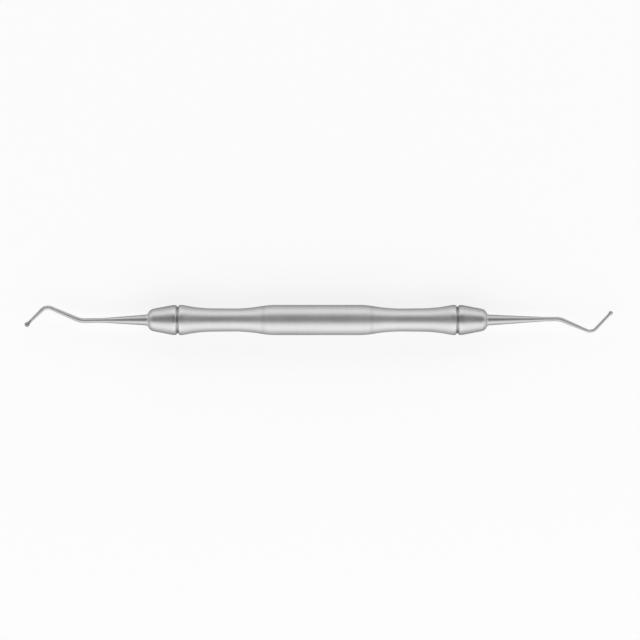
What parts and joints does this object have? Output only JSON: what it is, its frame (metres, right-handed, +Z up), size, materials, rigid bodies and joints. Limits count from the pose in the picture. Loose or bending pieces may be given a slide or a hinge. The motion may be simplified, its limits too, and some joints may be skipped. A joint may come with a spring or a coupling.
{
  "type": "ball plugger",
  "caption": "Double-ended dental hand instrument with a waisted round steel handle, conical noses and bent, tapered working ends that finish in small balls.",
  "frame": {"origin": "under the middle of the handle, on the table that the instrument lies on", "axes": "+X along the handle towards the right working end, +Y level, the side to which the right tip leg points, +Z up from the table"},
  "size_m": [0.1737, 0.0088, 0.0089],
  "materials": {
    "satin_steel": "satin stainless steel, finely blasted over turning marks",
    "polished_steel": "finely ground stainless steel, glossier and a little darker than the handle"
  },
  "bodies": {
    "root": {"handle": "satin_steel", "left_nose": "satin_steel", "right_nose": "satin_steel", "left_working_end": "polished_steel", "right_working_end": "polished_steel"}
  },
  "joints": []
}
